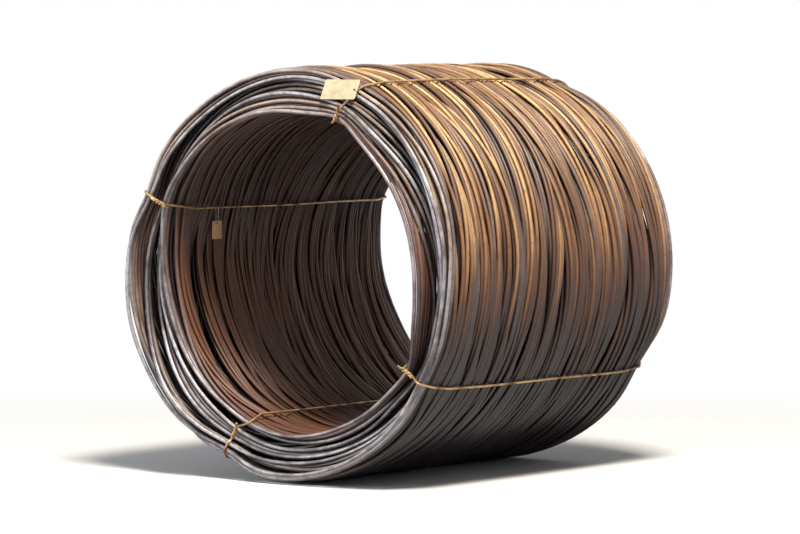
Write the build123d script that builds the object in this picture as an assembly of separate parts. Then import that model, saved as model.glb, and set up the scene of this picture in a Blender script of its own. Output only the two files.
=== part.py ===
from build123d import *
import os
from math import acos, atan2, cos, radians, sin, sqrt, tan

# A coil of hot rolled steel wire rod lying on its side, as bundled at the mill. Millimetres, +Z up.
# The coil's axis runs along Y and its front end faces -Y. The origin is on the floor, under its middle.

# The coil
OUTSIDE_DIAMETER = 1250.0
WALL_THICKNESS = 150.0
COIL_LENGTH = 1200.0
END_BEVEL = 40.0  # how far the wall's edges are rounded off at each end

# The turns that show on each end, with the gaps between them
ROD_DIAMETER = 12.0
TURNS_ON_END = 6
GAP_BELOW_DIP = 26.0  # how much deeper the gaps reach than the dips

# The dip that each tie pulls into each end
DIP_DEPTH = 20.0
DIP_RADIUS = 400.0

# The four ties, with where each one sits round the coil, in degrees up from the right-hand side
TIE_WIRE_DIAMETER = 7.0
UPPER_RIGHT_ANGLE = 67.0
UPPER_LEFT_ANGLE = 157.0
LOWER_LEFT_ANGLE = 247.0
LOWER_RIGHT_ANGLE = 329.0

# The knot in each tie, where its two ends are twisted round each other on the front end
KNOT_LENGTH = 36.0
KNOT_TURNS = 1.5
TAIL_LENGTH = 11.0
TAIL_LIFT = 20.0  # degrees that each tail is bent away from the rod

# The pale tag on the front end, beside the upper right tie
FACE_TAG_LENGTH = 110.0
FACE_TAG_WIDTH = 75.0
FACE_TAG_THICKNESS = 1.0
FACE_TAG_EYE_DIAMETER = 7.0
FACE_TAG_EYE_MARGIN = 11.0
FACE_TAG_TURN = 23.0  # degrees that it is turned inwards, so that it lies level

# The small tag that hangs in the bore, under the upper left tie
BORE_TAG_HEIGHT = 56.0
BORE_TAG_WIDTH = 44.0
BORE_TAG_THICKNESS = 1.0
BORE_TAG_EYE_DIAMETER = 6.0
BORE_TAG_EYE_MARGIN = 8.0
BORE_TAG_SETBACK = 240.0  # from the coil's front end

# The thin wires that hold the tags: a ring round the tie for one, a hanging loop for the other
TAG_CORNER_RADIUS = 5.0
TAG_WIRE_DIAMETER = 2.0
RING_PLAY = 5.5  # how much wider the ring is than the tie, all round
RING_MOUTH = 20.0  # degrees that the ring is left open
LOOP_LENGTH = 52.0

# Clearances
SEAT_GAP = 0.3  # between pieces that rest on each other
TAG_TO_TAIL_GAP = 2.0
BORE_RUN_GAP = 3.0  # the ties bridge the uneven rod inside the bore, which leaves room for a tag's loop

# How finely wires are bent and rounded
WIRE_SIDES = 8
STEPS_PER_TURN = 16
KNOT_STEPS = 12

# Worked out from the sizes above
tie_angles = {
    "upper_right": UPPER_RIGHT_ANGLE,
    "upper_left": UPPER_LEFT_ANGLE,
    "lower_left": LOWER_LEFT_ANGLE,
    "lower_right": LOWER_RIGHT_ANGLE,
}
outside_radius = OUTSIDE_DIAMETER / 2
bore_radius = outside_radius - WALL_THICKNESS
half_length = COIL_LENGTH / 2
dip_floor = half_length - DIP_DEPTH
tie_radius = TIE_WIRE_DIAMETER / 2
tie_offset = SEAT_GAP + tie_radius
tag_wire_radius = TAG_WIRE_DIAMETER / 2
turn_pitch = WALL_THICKNESS / TURNS_ON_END
gap_mouth = turn_pitch - ROD_DIAMETER
gap_depth = DIP_DEPTH + GAP_BELOW_DIP

# Where the face tag, its ring and the tie below them lie, as heights from the coil's middle.
# The ring goes down into the first gap between two turns, behind the tie.
tie_height = dip_floor + tie_offset
ring_gap_radius = outside_radius - turn_pitch
ring_radius = tie_radius + RING_PLAY
ring_step = (360 - RING_MOUTH) / STEPS_PER_TURN
ring_flat_radius = ring_radius * cos(radians(ring_step / 2))
ring_height = tie_height - SEAT_GAP
tag_height = tie_height + tie_radius + SEAT_GAP + FACE_TAG_THICKNESS / 2
eye_side = sqrt(ring_flat_radius**2 - (tag_height - ring_height) ** 2)

# The knot lies on the tie's run over the front end, between the tag's inner edge and the bore
strand_offset = tie_radius + SEAT_GAP / 2
tag_turn = radians(FACE_TAG_TURN)
tag_edge = ring_gap_radius - (FACE_TAG_WIDTH / 2 + sin(tag_turn) * (tie_radius * 2 - eye_side)) / cos(tag_turn)
knot_middle = tag_edge - TAG_TO_TAIL_GAP - TAIL_LENGTH - KNOT_LENGTH / 2


def end_depth(radius):
    """How far back from the end plane the wall's outline is at this radius."""
    from_outside = END_BEVEL - (outside_radius - radius)
    from_bore = END_BEVEL - (radius - bore_radius)
    return max(0.0, from_outside, from_bore)


def end_outline():
    """The outline of one end as (radius, depth), from the outside to the bore, with its turns."""
    gaps = [outside_radius - turn * turn_pitch for turn in range(1, TURNS_ON_END)]
    points = [(radius, end_depth(radius)) for radius in (outside_radius, bore_radius)]
    for corner in (outside_radius - END_BEVEL, bore_radius + END_BEVEL):
        if all(abs(corner - gap) > gap_mouth / 2 for gap in gaps):
            points.append((corner, 0.0))
    for gap in gaps:
        points.append((gap, gap_depth))
        for lip in (gap - gap_mouth / 2, gap + gap_mouth / 2):
            points.append((lip, end_depth(lip)))
    return sorted(points, reverse=True)


def tie_plane(angle):
    """The plane of one tie: X points outwards from the coil's axis, Y along it."""
    outwards = (cos(radians(angle)), 0, sin(radians(angle)))
    onwards = (-sin(radians(angle)), 0, cos(radians(angle)))
    return Plane(origin=(0, 0, outside_radius), x_dir=outwards, z_dir=onwards)


def make_rod_coil():
    """The bundle as one turned solid with its bore, dipped at both ends under each tie."""
    back = [(radius, half_length - depth) for radius, depth in end_outline()]
    front = [(radius, -y) for radius, y in reversed(back)]
    section = make_face(Polyline(*back, *front, close=True))
    coil = Pos(0, 0, outside_radius) * revolve(section, axis=Axis.Y)
    for angle in tie_angles.values():
        for side in (-1, 1):
            middle = Pos(bore_radius / 2, side * (dip_floor + DIP_RADIUS), 0) * Rot(0, 90, 0)
            dip = Cylinder(DIP_RADIUS, outside_radius, align=(Align.CENTER, Align.CENTER, Align.MIN))
            coil -= tie_plane(angle) * middle * dip
    return coil


def wire_along(points, radius):
    """A wire through the points, bent a little at each one."""
    route = Polyline(*points)
    section = Plane(origin=route @ 0, z_dir=route % 0) * RegularPolygon(radius, WIRE_SIDES)
    return sweep(section, path=route, transition=Transition.RIGHT)


def tie_corners():
    """The corners of a tie's route over the back end, from the outside to the bore."""
    side = tie_offset * (sqrt(2) - 1)
    bore_run = BORE_RUN_GAP + tie_radius
    return [
        (outside_radius + tie_offset, half_length - END_BEVEL + side, 0),
        (outside_radius - END_BEVEL + DIP_DEPTH + side, tie_height, 0),
        (bore_radius + END_BEVEL - DIP_DEPTH - side, tie_height, 0),
        (bore_radius - bore_run, half_length - END_BEVEL + tie_offset * sqrt(2) - bore_run, 0),
    ]


def knot_strand(side):
    """One end of a tie: it comes in along the rod, winds round the knot's middle line and ends in a tail."""
    middle_height = tie_height + strand_offset
    points = []
    for step in range(KNOT_STEPS + 1):
        share = step / KNOT_STEPS
        turned = radians(360 * KNOT_TURNS * share)
        along = knot_middle + side * KNOT_LENGTH * (0.5 - share)
        height = middle_height - strand_offset * cos(turned)
        points.append((along, -height, side * strand_offset * sin(turned)))
    along, y, z = points[-1]
    lift = radians(TAIL_LIFT)
    points.append((along - side * TAIL_LENGTH * cos(lift), y - TAIL_LENGTH * sin(lift), z))
    return points


def make_tie(angle):
    """One tie wire: outside, back end, bore and front end, its two ends twisted together."""
    back = tie_corners()
    front = [(radius, -y, z) for radius, y, z in back]
    outer_end = knot_strand(1)
    inner_end = knot_strand(-1)
    route = [*reversed(outer_end), front[1], front[0], *back, front[3], front[2], *inner_end]
    return tie_plane(angle) * wire_along(route, tie_radius)


def tag_plate(length, width, thickness, eye_diameter, eye_margin, wire_reach):
    """A flat tag on the XY plane, its long side along X. The wire through its eye is at the origin."""
    eye_play = eye_diameter / 2 - wire_reach - SEAT_GAP
    blank = Pos(length / 2 - eye_margin, 0) * RectangleRounded(length, width, TAG_CORNER_RADIUS)
    plate = extrude(blank - Circle(eye_diameter / 2), thickness / 2, both=True)
    return Pos(eye_play, 0, 0) * plate


def make_face_tag():
    """The tag that rests on the upper right tie and, at its far corner, on the rod beside the dip."""
    far_corner = (FACE_TAG_LENGTH - FACE_TAG_EYE_MARGIN) * cos(tag_turn) + FACE_TAG_WIDTH / 2 * sin(tag_turn)
    rise = DIP_RADIUS - sqrt(DIP_RADIUS**2 - far_corner**2)
    far_height = dip_floor + rise + SEAT_GAP + FACE_TAG_THICKNESS
    tilt = atan2(far_height - tag_height, far_corner)
    slant = acos(eye_side / ring_flat_radius) + tilt
    plate = tag_plate(
        FACE_TAG_LENGTH,
        FACE_TAG_WIDTH,
        FACE_TAG_THICKNESS,
        FACE_TAG_EYE_DIAMETER,
        FACE_TAG_EYE_MARGIN,
        tag_wire_radius / cos(slant) + FACE_TAG_THICKNESS / 2 * tan(slant),
    )
    seat = Plane(
        origin=(ring_gap_radius, -tag_height, 0),
        x_dir=(0, -sin(tilt), cos(tilt)),
        z_dir=(0, -cos(tilt), -sin(tilt)),
    )
    placed = seat * Pos(eye_side, 0, 0) * Rot(0, 0, FACE_TAG_TURN) * plate
    return tie_plane(UPPER_RIGHT_ANGLE) * placed


def make_face_tag_ring():
    """The ring through the face tag's eye, round the tie and down into a gap between two turns."""
    points = []
    for step in range(STEPS_PER_TURN + 1):
        turned = radians(RING_MOUTH / 2 + ring_step * step)
        points.append((ring_gap_radius, -ring_height - ring_radius * sin(turned), -ring_radius * cos(turned)))
    return tie_plane(UPPER_RIGHT_ANGLE) * wire_along(points, tag_wire_radius)


def bore_hang_point():
    """The point on the upper left tie, inside the bore, that the small tag hangs from."""
    angle = radians(UPPER_LEFT_ANGLE)
    run = bore_radius - BORE_RUN_GAP - tie_radius
    return run * cos(angle), BORE_TAG_SETBACK - half_length, outside_radius + run * sin(angle)


loop_bend = tie_radius + SEAT_GAP + tag_wire_radius
loop_straight = LOOP_LENGTH - 2 * loop_bend


def make_bore_tag():
    """The small tag, hanging side on to the coil's axis."""
    plate = tag_plate(
        BORE_TAG_HEIGHT,
        BORE_TAG_WIDTH,
        BORE_TAG_THICKNESS,
        BORE_TAG_EYE_DIAMETER,
        BORE_TAG_EYE_MARGIN,
        tag_wire_radius,
    )
    down = Plane(origin=bore_hang_point(), x_dir=(0, 0, -1), z_dir=(0, 1, 0))
    return down * Pos(loop_straight + loop_bend, 0, 0) * Rot(90, 0, 0) * plate


def make_bore_tag_loop():
    """The long loop over the tie that the small tag hangs on, square to the coil's axis."""
    x, y, z = bore_hang_point()
    points = [(x + loop_bend, y, z - loop_straight / 2)]
    for end, first in ((0, 0), (-loop_straight, 180)):
        for step in range(STEPS_PER_TURN // 2 + 1):
            turned = radians(first + 360 * step / STEPS_PER_TURN)
            points.append((x + loop_bend * cos(turned), y, z + end + loop_bend * sin(turned)))
    points.append((x + loop_bend, y, z - loop_straight / 2 - SEAT_GAP))
    return wire_along(points, tag_wire_radius)


os.makedirs("parts", exist_ok=True)
pieces = {"rod_coil": make_rod_coil()}
for place, angle in tie_angles.items():
    pieces[f"tie_{place}"] = make_tie(angle)
pieces["face_tag"] = make_face_tag()
pieces["face_tag_ring"] = make_face_tag_ring()
pieces["bore_tag"] = make_bore_tag()
pieces["bore_tag_loop"] = make_bore_tag_loop()
for name, piece in pieces.items():
    export_step(piece, f"parts/{name}.step")
    print(name, len(piece.solids()), round(piece.volume))
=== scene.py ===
"""A coil of hot rolled wire rod on its side: loose rings of rod, four tie wires and two bare tags."""

import logging
import math
from dataclasses import dataclass, field
from enum import Enum

import bpy
import numpy as np
from mathutils import Matrix, Vector


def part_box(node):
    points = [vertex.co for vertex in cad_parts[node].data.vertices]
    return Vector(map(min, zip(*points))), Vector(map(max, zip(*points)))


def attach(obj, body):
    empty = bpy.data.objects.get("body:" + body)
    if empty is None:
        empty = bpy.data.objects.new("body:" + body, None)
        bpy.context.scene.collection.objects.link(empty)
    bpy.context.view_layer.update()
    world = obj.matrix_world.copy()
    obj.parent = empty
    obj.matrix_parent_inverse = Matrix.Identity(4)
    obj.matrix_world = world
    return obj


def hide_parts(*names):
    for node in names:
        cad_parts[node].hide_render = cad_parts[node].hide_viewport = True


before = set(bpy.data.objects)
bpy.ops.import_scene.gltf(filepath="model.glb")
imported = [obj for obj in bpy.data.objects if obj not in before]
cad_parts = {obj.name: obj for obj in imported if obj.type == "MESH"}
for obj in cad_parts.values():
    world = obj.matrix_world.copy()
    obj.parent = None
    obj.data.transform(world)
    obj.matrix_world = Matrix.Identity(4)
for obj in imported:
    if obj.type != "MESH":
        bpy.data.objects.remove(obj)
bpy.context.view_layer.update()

BODY = "root"
MM = 0.001
WIDEST_BEND = math.radians(40)
STRAIGHT_ON = math.radians(4)
LOG = logging.getLogger("wire_rod_coil")


class Slot(Enum):
    """The record's material slots."""

    ROD = "rod"
    TIE_WIRE = "tie_wire"
    TAG_WIRE = "tag_wire"
    PALE_TAG = "pale_tag"
    TAN_TAG = "tan_tag"


def srgb(red: int, green: int, blue: int) -> tuple[float, float, float, float]:
    """A colour as a painter names it, as the linear values that a shader takes.

    Args:
        red: 0 to 255.
        green: 0 to 255.
        blue: 0 to 255.

    Returns:
        Linear red, green, blue and an alpha of 1.
    """
    linear = []
    for part in (red, green, blue):
        share = part / 255
        linear.append(share / 12.92 if share <= 0.04045 else ((share + 0.055) / 1.055) ** 2.4)
    return (*linear, 1.0)


class Shader:
    """A material's node sheet, with short calls for the nodes that the finishes share."""

    def __init__(self, name: str) -> None:
        """Starts a material with one principled shader.

        Args:
            name: the material's name.
        """
        self.material = bpy.data.materials.new(name)
        self.material.use_nodes = True
        self.tree = self.material.node_tree
        self.surface = self.tree.nodes["Principled BSDF"]
        self.places = self.tree.nodes.new("ShaderNodeTexCoord")

    def put(self, value: object, socket: bpy.types.NodeSocket) -> None:
        """Links a socket to a socket, or sets a plain value on it.

        Args:
            value: an output socket, a number or a colour.
            socket: the input that takes it.
        """
        if isinstance(value, bpy.types.NodeSocket):
            self.tree.links.new(value, socket)
        else:
            socket.default_value = value

    def number(self, operation: str, first: object, second: object = 0.0) -> bpy.types.NodeSocket:
        """One sum, clamped to 0 and 1.

        Args:
            operation: the math node's operation.
            first: its first value.
            second: its second value.

        Returns:
            The result.
        """
        node = self.tree.nodes.new("ShaderNodeMath")
        node.operation = operation
        node.use_clamp = True
        self.put(first, node.inputs[0])
        self.put(second, node.inputs[1])
        return node.outputs[0]

    def step(
        self, value: object, low: float, high: float, start: float = 0.0, end: float = 1.0
    ) -> bpy.types.NodeSocket:
        """A smooth step from one value to another.

        Args:
            value: what is read.
            low: where the step starts.
            high: where the step ends.
            start: the result up to low.
            end: the result from high on.

        Returns:
            The result.
        """
        node = self.tree.nodes.new("ShaderNodeMapRange")
        node.interpolation_type = "SMOOTHSTEP"
        self.put(value, node.inputs["Value"])
        for name, number in (("From Min", low), ("From Max", high), ("To Min", start), ("To Max", end)):
            node.inputs[name].default_value = number
        return node.outputs[0]

    def noise(
        self, scale: float, detail: float = 4.0, stretch: tuple = (1, 1, 1), own: object = 0.0
    ) -> bpy.types.NodeSocket:
        """A noise pattern that is fixed to the object.

        Args:
            scale: how many spots there are in a metre.
            detail: how fine it goes.
            stretch: how much each direction is scaled first.
            own: a number that gives the parts which share it a pattern of their own.

        Returns:
            The pattern, from 0 to 1.
        """
        mapping = self.tree.nodes.new("ShaderNodeMapping")
        mapping.inputs["Scale"].default_value = stretch
        self.put(self.places.outputs["Object"], mapping.inputs["Vector"])
        node = self.tree.nodes.new("ShaderNodeTexNoise")
        node.noise_dimensions = "4D"
        node.inputs["Scale"].default_value = scale
        node.inputs["Detail"].default_value = detail
        node.inputs["Roughness"].default_value = 0.6
        self.put(mapping.outputs[0], node.inputs["Vector"])
        self.put(own, node.inputs["W"])
        return node.outputs["Fac"]

    def mix(self, share: object, first: object, second: object) -> bpy.types.NodeSocket:
        """A mix of two colours.

        Args:
            share: how much there is of the second.
            first: a colour.
            second: a colour.

        Returns:
            The mixed colour.
        """
        node = self.tree.nodes.new("ShaderNodeMix")
        node.data_type = "RGBA"
        self.put(share, node.inputs[0])
        self.put(first, node.inputs[6])
        self.put(second, node.inputs[7])
        return node.outputs[2]

    def attribute(self, name: str) -> bpy.types.NodeSocket:
        """A number that is stored on the mesh.

        Args:
            name: what it is stored as.

        Returns:
            The number at each place.
        """
        node = self.tree.nodes.new("ShaderNodeAttribute")
        node.attribute_name = name
        return node.outputs["Fac"]

    def facing_up(self) -> bpy.types.NodeSocket:
        """How much the surface faces up.

        Returns:
            -1 where it faces down, to 1 where it faces up.
        """
        normal = self.tree.nodes.new("ShaderNodeNewGeometry").outputs["Normal"]
        parts = self.tree.nodes.new("ShaderNodeSeparateXYZ")
        self.put(normal, parts.inputs[0])
        return parts.outputs["Z"]

    def along(self, axis: str) -> bpy.types.NodeSocket:
        """The place along one axis.

        Args:
            axis: X, Y or Z.

        Returns:
            The place, in metres.
        """
        parts = self.tree.nodes.new("ShaderNodeSeparateXYZ")
        self.put(self.places.outputs["Object"], parts.inputs[0])
        return parts.outputs[axis]

    def bump(self, height: bpy.types.NodeSocket, strength: float, distance: float) -> None:
        """Roughens the surface.

        Args:
            height: the pattern that is raised.
            strength: how much, from 0 to 1.
            distance: how high it is, in metres.
        """
        node = self.tree.nodes.new("ShaderNodeBump")
        node.inputs["Strength"].default_value = strength
        node.inputs["Distance"].default_value = distance
        self.put(height, node.inputs["Height"])
        self.put(node.outputs[0], self.surface.inputs["Normal"])


@dataclass(frozen=True)
class RolledRodFinish:
    """Hot rolled rod: blue-grey mill scale under rust dust, which lies thickest where the rod faces up and is
    partly a painted highlight there. Shade is painted low down, underneath and between the rods.
    """

    scale_dark: tuple = srgb(66, 62, 70)
    scale_light: tuple = srgb(196, 192, 198)
    rust_dark: tuple = srgb(72, 47, 40)
    rust: tuple = srgb(152, 104, 68)
    pale_dust_and_highlight: tuple = srgb(246, 208, 150)
    painted_low_shade: tuple = srgb(46, 35, 42)
    painted_underside_shade: tuple = srgb(24, 21, 28)
    inside: tuple = srgb(124, 72, 42)
    grain_and_painted_gap_shade: tuple = srgb(13, 11, 16)

    def make(self) -> bpy.types.Material:
        """Builds the material.

        Returns:
            The material.
        """
        sheet = Shader("rolled_rod")
        tone = sheet.attribute("tone")
        ring = sheet.attribute("ring")
        end = sheet.attribute("end_share")
        inner = sheet.attribute("inner")
        bare = sheet.attribute("open")
        up = sheet.facing_up()

        patches = sheet.noise(4.0, 4.0)
        streaks = sheet.noise(5.0, 4.0, own=ring)
        marks = sheet.noise(24.0, 4.0, own=ring)
        flecks = sheet.noise(70.0, 3.0, own=ring)
        grain = sheet.noise(420.0, 3.0)

        # The two coats: mill scale, lighter where it is rubbed, and rust, which is darker and browner towards
        # the bottom as painted shade.
        rubbed = sheet.step(streaks, 0.34, 0.6, 0.2, 1.0)
        rubbed = sheet.number("MULTIPLY", rubbed, sheet.step(marks, 0.3, 0.6, 0.4, 1.0))
        scale = sheet.mix(rubbed, self.scale_dark, self.scale_light)
        worn = sheet.step(streaks, 0.3, 0.65, 0.35, 1.0)
        worn = sheet.number("MULTIPLY", worn, sheet.step(tone, 0.1, 0.7, 0.1, 1.0))
        rust = sheet.mix(worn, self.rust_dark, self.rust)
        # Painted shade: the rust darkens towards the bottom of the coil.
        low = sheet.step(sheet.along("Z"), 0.2, 0.85, 0.95, 0.0)
        rust = sheet.mix(low, rust, self.painted_low_shade)

        # Which coat shows: each rod has its tone, and the rods at the two ends are cleaner, their blue-grey
        # scale partly painted cool light on the end faces.
        clean = sheet.number("MULTIPLY", end, sheet.step(streaks, 0.2, 0.55, 0.55, 1.0))
        rusted = sheet.number("SUBTRACT", sheet.step(tone, -0.35, 0.12), clean)
        colour = sheet.mix(rusted, scale, rust)
        # In the bore the rods turn a darker orange-brown. Where the rod faces down its colour goes near black
        # as painted shade. Both are weaker at the ends.
        away_from_end = sheet.step(end, 0.0, 1.0, 1.0, 0.35)
        inside = sheet.number("MULTIPLY", sheet.step(inner, 0.2, 1.0, 0.0, 0.6), away_from_end)
        colour = sheet.mix(inside, colour, self.inside)
        painted_underside_shade = sheet.number("MULTIPLY", sheet.step(up, -0.5, 0.25, 0.85, 0.0), away_from_end)
        colour = sheet.mix(painted_underside_shade, colour, self.painted_underside_shade)

        # Pale dust lies where the rod faces up, and is partly a painted highlight on the rods' tops. There is
        # less of it at the ends, in the bore and towards the bottom, where the lack of it adds to the painted
        # shade.
        dust_and_highlight_share = sheet.step(up, -0.1, 0.75)
        for reading, steps in (
            (patches, (0.3, 0.6, 0.6, 1.0)),
            (streaks, (0.3, 0.62, 0.4, 1.0)),
            (tone, (0.35, 0.9, 0.1, 1.0)),
            (end, (0.0, 1.0, 1.0, 0.35)),
            (inner, (0.2, 1.0, 1.0, 0.35)),
            (low, (0.0, 0.8, 1.0, 0.3)),
        ):
            dust_and_highlight_share = sheet.number("MULTIPLY", dust_and_highlight_share, sheet.step(reading, *steps))
        colour = sheet.mix(dust_and_highlight_share, colour, self.pale_dust_and_highlight)

        # Flecks and grain over all of it, and painted shade where other rods cover the rod.
        colour = sheet.mix(sheet.step(flecks, 0.5, 0.75, 0.0, 0.5), colour, self.rust_dark)
        colour = sheet.mix(sheet.step(grain, 0.3, 0.7, 0.22, 0.0), colour, self.grain_and_painted_gap_shade)
        colour = sheet.mix(sheet.step(bare, 0.08, 0.95, 0.92, 0.0), colour, self.grain_and_painted_gap_shade)
        sheet.put(colour, sheet.surface.inputs["Base Color"])

        sheet.put(sheet.step(dust_and_highlight_share, 0.0, 0.8, 0.42, 0.66), sheet.surface.inputs["Roughness"])
        sheet.put(sheet.step(rusted, 0.0, 0.7, 0.35, 0.0), sheet.surface.inputs["Metallic"])
        sheet.bump(grain, 0.3, 0.4 * MM)
        return sheet.material


@dataclass(frozen=True)
class TieWireFinish:
    """Tie wire, golden brown with rust."""

    clean: tuple = srgb(190, 156, 108)
    rusty: tuple = srgb(92, 62, 42)

    def make(self) -> bpy.types.Material:
        """Builds the material.

        Returns:
            The material.
        """
        sheet = Shader("tie_wire")
        patches = sheet.noise(16.0, 5.0)
        grain = sheet.noise(600.0, 2.0)
        rusted = sheet.step(patches, 0.4, 0.68)
        sheet.put(sheet.mix(rusted, self.clean, self.rusty), sheet.surface.inputs["Base Color"])
        sheet.put(sheet.step(rusted, 0.0, 1.0, 0.36, 0.7), sheet.surface.inputs["Roughness"])
        sheet.put(sheet.step(rusted, 0.0, 1.0, 0.5, 0.1), sheet.surface.inputs["Metallic"])
        sheet.bump(grain, 0.25, 0.2 * MM)
        return sheet.material


@dataclass(frozen=True)
class ThinWireFinish:
    """The dull drawn wire that holds the tags."""

    bright: tuple = srgb(164, 156, 144)
    dull: tuple = srgb(100, 88, 76)

    def make(self) -> bpy.types.Material:
        """Builds the material.

        Returns:
            The material.
        """
        sheet = Shader("tag_wire")
        patches = sheet.noise(180.0, 3.0)
        colour = sheet.mix(sheet.step(patches, 0.4, 0.65), self.bright, self.dull)
        sheet.put(colour, sheet.surface.inputs["Base Color"])
        sheet.put(sheet.step(patches, 0.3, 0.7, 0.32, 0.55), sheet.surface.inputs["Roughness"])
        sheet.surface.inputs["Metallic"].default_value = 0.7
        return sheet.material


@dataclass(frozen=True)
class BlankTagFinish:
    """A bare tag, dusty and rubbed, with a few rust marks."""

    name: str
    face: tuple
    grime: tuple
    stain: tuple

    def make(self) -> bpy.types.Material:
        """Builds the material.

        Returns:
            The material.
        """
        sheet = Shader(self.name)
        clouds = sheet.noise(34.0, 6.0)
        marks = sheet.noise(1.0, 4.0, (190.0, 190.0, 44.0))
        fibre = sheet.noise(900.0, 2.0)
        colour = sheet.mix(sheet.step(clouds, 0.42, 0.72, 0.0, 0.6), self.face, self.grime)
        colour = sheet.mix(sheet.step(marks, 0.6, 0.78, 0.0, 0.45), colour, self.stain)
        sheet.put(colour, sheet.surface.inputs["Base Color"])
        sheet.put(sheet.step(clouds, 0.3, 0.7, 0.5, 0.75), sheet.surface.inputs["Roughness"])
        sheet.bump(fibre, 0.15, 0.1 * MM)
        return sheet.material


def deselect() -> None:
    """Leaves edit mode and selects nothing."""
    if bpy.context.object and bpy.context.object.mode != "OBJECT":
        bpy.ops.object.mode_set(mode="OBJECT")
    bpy.ops.object.select_all(action="DESELECT")


def take(piece: bpy.types.Object) -> None:
    """Makes one object the only one selected, and the active one.

    Args:
        piece: the object.
    """
    deselect()
    piece.select_set(True)
    bpy.context.view_layer.objects.active = piece


def settle(piece: bpy.types.Object) -> None:
    """Moves an object's place, turn and scale into its mesh."""
    take(piece)
    bpy.ops.object.transform_apply(location=True, rotation=True, scale=True)


def face_outwards(piece: bpy.types.Object) -> None:
    """Closes a mesh's seams and turns its faces outwards.

    Args:
        piece: the object.
    """
    take(piece)
    bpy.ops.object.mode_set(mode="EDIT")
    bpy.ops.mesh.select_all(action="SELECT")
    bpy.ops.mesh.remove_doubles(threshold=0.01 * MM)
    bpy.ops.mesh.normals_make_consistent(inside=False)
    bpy.ops.object.mode_set(mode="OBJECT")


def hand_over(piece: bpy.types.Object, finish: bpy.types.Material, node: str) -> None:
    """Gives a finished piece its material and its place in the frame.

    Args:
        piece: the finished object.
        finish: its material.
        node: the CAD node that it stands for.
    """
    piece.data.materials.clear()
    piece.data.materials.append(finish)
    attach(piece, BODY)
    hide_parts(node)
    triangles = sum(len(face.vertices) - 2 for face in piece.data.polygons)
    LOG.info("%s: %d triangles", piece.name, triangles)


def smooth_wire(name: str, points: list[Vector], radius: float) -> bpy.types.Object:
    """A round wire along a smooth line through control points.

    Args:
        name: the object's name.
        points: the line's control points.
        radius: the wire's radius.

    Returns:
        The wire as a mesh.
    """
    deselect()
    bpy.ops.curve.primitive_nurbs_path_add(location=(0, 0, 0))
    wire = bpy.context.object
    wire.name = name
    curve = wire.data
    curve.splines.clear()
    spline = curve.splines.new("NURBS")
    spline.points.add(len(points) - 1)
    for knot, point in zip(spline.points, points):
        knot.co = (*point, 1.0)
    spline.order_u = 3
    spline.use_endpoint_u = True
    spline.resolution_u = 5
    curve.bevel_depth = radius
    curve.bevel_resolution = 3
    curve.use_fill_caps = True
    bpy.ops.object.convert(target="MESH")
    wire = bpy.context.object
    face_outwards(wire)
    bpy.ops.object.shade_smooth_by_angle(angle=math.radians(50))
    return wire


def wire_ring(name: str, radius: float, wire: float, parts: int) -> bpy.types.Object:
    """A closed ring of wire round the Z axis, its middle at the origin.

    Args:
        name: the object's name.
        radius: the radius of its middle line.
        wire: the wire's thickness.
        parts: how many straight parts it is made of.

    Returns:
        The ring.
    """
    deselect()
    bpy.ops.mesh.primitive_torus_add(
        major_radius=radius, minor_radius=wire / 2, major_segments=parts, minor_segments=10
    )
    ring = bpy.context.object
    ring.name = name
    return ring


@dataclass
class CoilShape:
    """The coil's main sizes. Its outside, length and ties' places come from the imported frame."""

    wall: float = 150 * MM
    rod: float = 12 * MM
    dip: float = 20 * MM
    dip_reach: float = 115 * MM
    edge: float = 28 * MM
    tie_names: tuple = ("upper_right", "upper_left", "lower_left", "lower_right")
    outside: float = field(init=False)
    half: float = field(init=False)
    ties: dict = field(init=False)

    def __post_init__(self) -> None:
        """Reads the coil's and the ties' boxes."""
        low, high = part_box("rod_coil")
        self.outside = high.z / 2
        self.half = high.y
        self.ties = {}
        for name in self.tie_names:
            low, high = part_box(f"tie_{name}")
            middle = (low + high) / 2
            self.ties[name] = math.atan2(middle.z - self.outside, middle.x) % (2 * math.pi)

    @property
    def bore(self) -> float:
        """The bore's radius."""
        return self.outside - self.wall

    @property
    def centre_radius(self) -> float:
        """The radius of the wall's middle."""
        return self.outside - self.wall / 2

    def near_tie(self, angles: np.ndarray, reach: float) -> np.ndarray:
        """How near each angle is to a tie.

        Args:
            angles: places round the coil, in radians.
            reach: how far a tie's pull goes along the wall's middle.

        Returns:
            1 under a tie, falling to 0 away from it.
        """
        pull = np.zeros_like(angles)
        for place in self.ties.values():
            gap = np.angle(np.exp(1j * (angles - place)))
            pull = np.maximum(pull, np.exp(-((gap * self.centre_radius / reach) ** 2)))
        return pull

    def place(self, radius: float, angle: float, y: float, side: float = 0.0) -> Vector:
        """A point of the coil.

        Args:
            radius: its distance from the axis.
            angle: its place round the coil, in radians.
            y: its place along the axis.
            side: a step aside, square to the radius.

        Returns:
            The point.
        """
        return Vector(
            (
                radius * math.cos(angle) - side * math.sin(angle),
                y,
                self.outside + radius * math.sin(angle) + side * math.cos(angle),
            )
        )


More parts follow.
